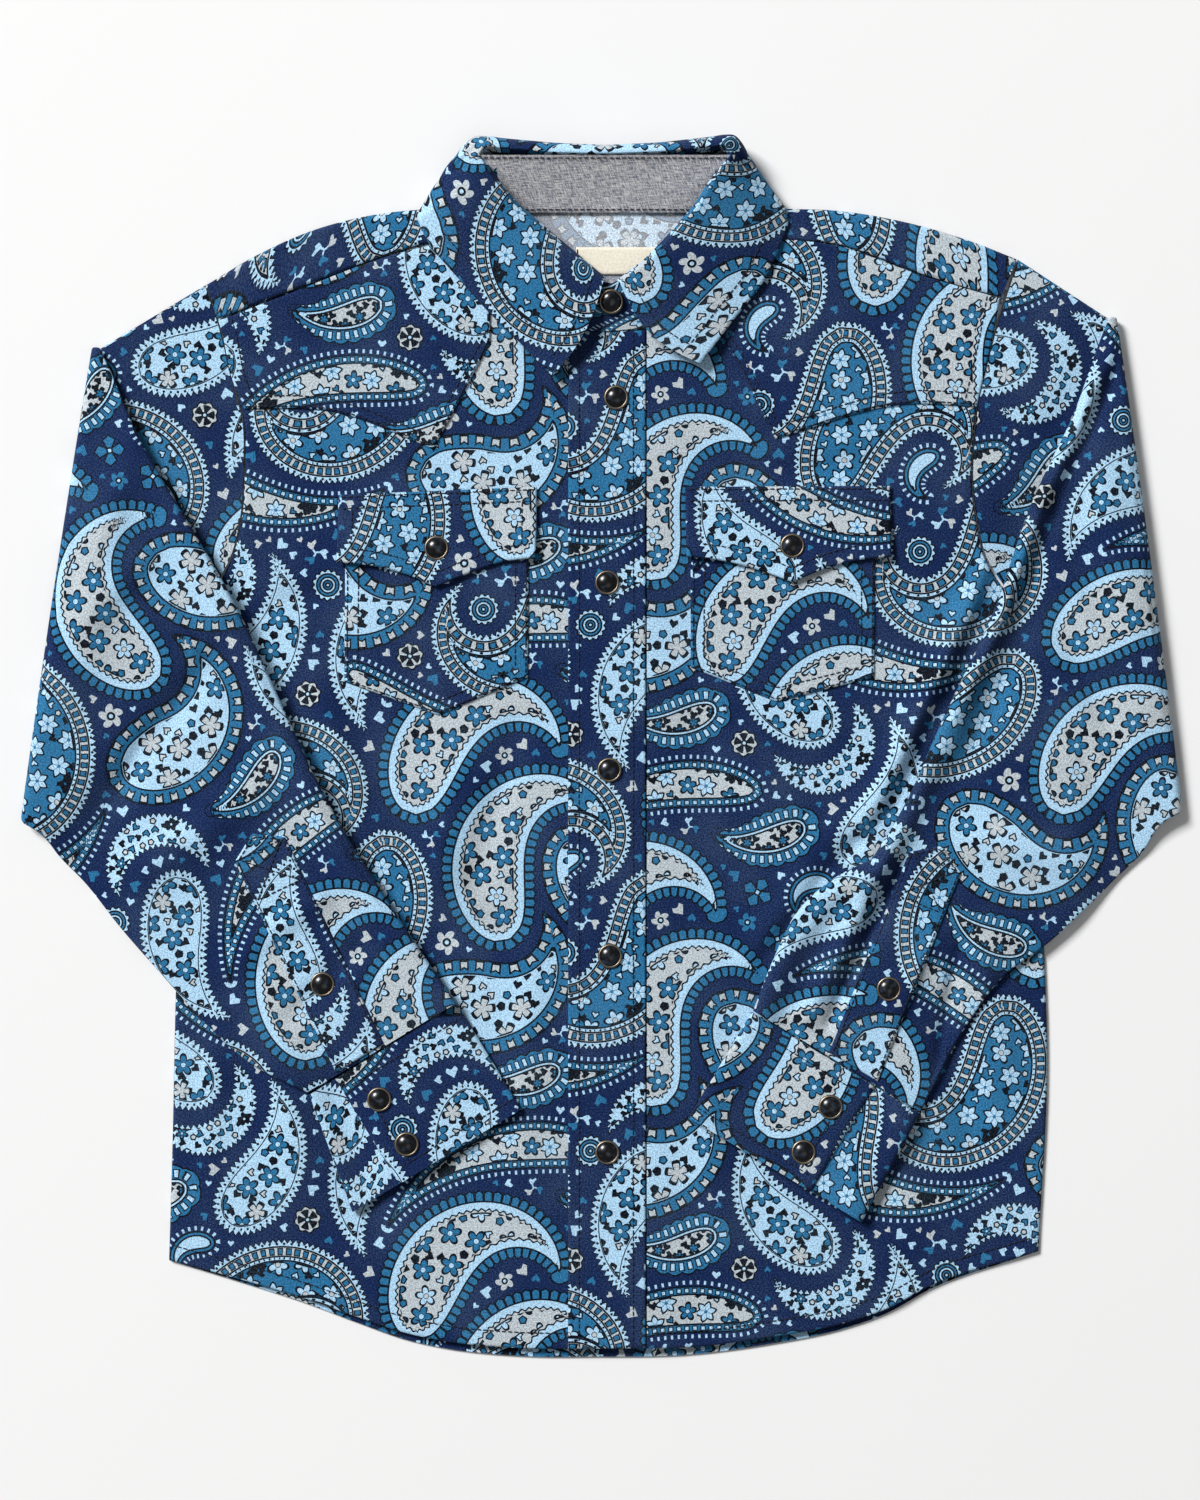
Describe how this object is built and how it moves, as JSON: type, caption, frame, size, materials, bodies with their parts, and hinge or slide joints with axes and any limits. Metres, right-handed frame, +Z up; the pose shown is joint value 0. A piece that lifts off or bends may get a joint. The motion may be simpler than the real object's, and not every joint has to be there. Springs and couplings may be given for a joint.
{
  "type": "western snap shirt",
  "caption": "Child's long-sleeved western shirt in a paisley print, laid flat with its sleeves folded over the front, pointed yokes, flapped pockets and pearl snaps.",
  "frame": {"origin": "under the middle of the laid-out shirt, on the surface that it lies on", "axes": "+X to the wearer's left, +Y towards the collar, +Z up out of the front of the shirt"},
  "size_m": [0.5209, 0.5477, 0.0215],
  "materials": {
    "printed_cotton": "matt printed cotton poplin, navy with light blue, teal and grey",
    "chambray": "matt blue-grey chambray",
    "label_tape": "bare cream woven tape",
    "snap_cap": "black pearl dome in a thin burnished metal rim"
  },
  "bodies": {
    "root": {"back": "printed_cotton", "back_yoke": "printed_cotton", "front_right": "printed_cotton", "front_left": "printed_cotton", "front_yoke_right": "printed_cotton", "front_yoke_left": "printed_cotton", "placket": "printed_cotton", "pocket_right": "printed_cotton", "pocket_left": "printed_cotton", "flap_right": "printed_cotton", "flap_left": "printed_cotton", "collar": "printed_cotton", "collar_stand": "printed_cotton", "sleeve_right": "printed_cotton", "sleeve_left": "printed_cotton", "sleeve_placket_right": "printed_cotton", "sleeve_placket_left": "printed_cotton", "cuff_right": "printed_cotton", "cuff_left": "printed_cotton", "stand_facing": "chambray", "label": "label_tape", "snap_band": "snap_cap", "snap_placket_1": "snap_cap", "snap_placket_2": "snap_cap", "snap_placket_3": "snap_cap", "snap_placket_4": "snap_cap", "snap_placket_5": "snap_cap", "snap_flap_right": "snap_cap", "snap_flap_left": "snap_cap", "snap_cuff_right_1": "snap_cap", "snap_cuff_right_2": "snap_cap", "snap_cuff_left_1": "snap_cap", "snap_cuff_left_2": "snap_cap", "snap_sleeve_right": "snap_cap", "snap_sleeve_left": "snap_cap"}
  },
  "joints": []
}
